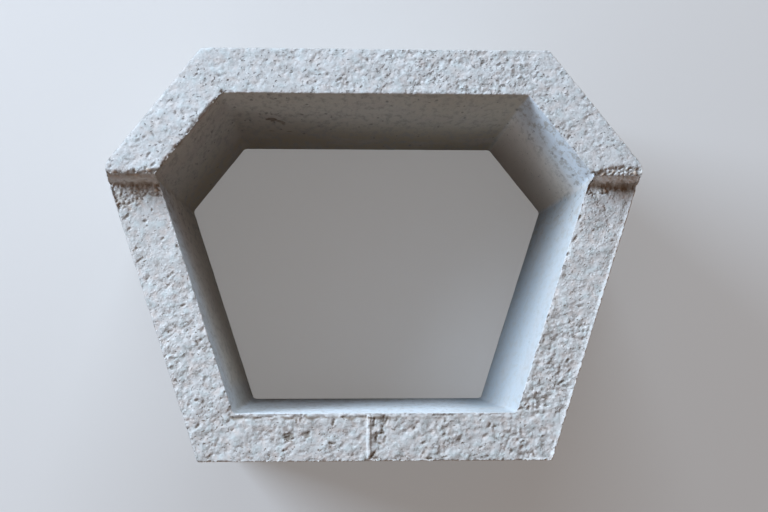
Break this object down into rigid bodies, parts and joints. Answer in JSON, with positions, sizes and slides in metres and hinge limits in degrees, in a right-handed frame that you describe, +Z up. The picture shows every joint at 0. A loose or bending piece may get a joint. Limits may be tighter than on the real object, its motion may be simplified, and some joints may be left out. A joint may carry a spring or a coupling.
{
  "type": "hollow concrete block",
  "caption": "Hollow six-sided pressed concrete block: short crown wall, sloping shoulders, long tapering legs, base wall, open right through, with a stepped upper end face.",
  "frame": {"origin": "centre of the footprint's box, on the plane that the block lies on", "axes": "+Z up along the hollow, +X across the two noses, +Y from the base wall to the crown wall"},
  "size_m": [0.39, 0.3, 0.208],
  "materials": {
    "concrete": "matte"
  },
  "bodies": {
    "root": {"hollow_block": "concrete"}
  },
  "joints": []
}
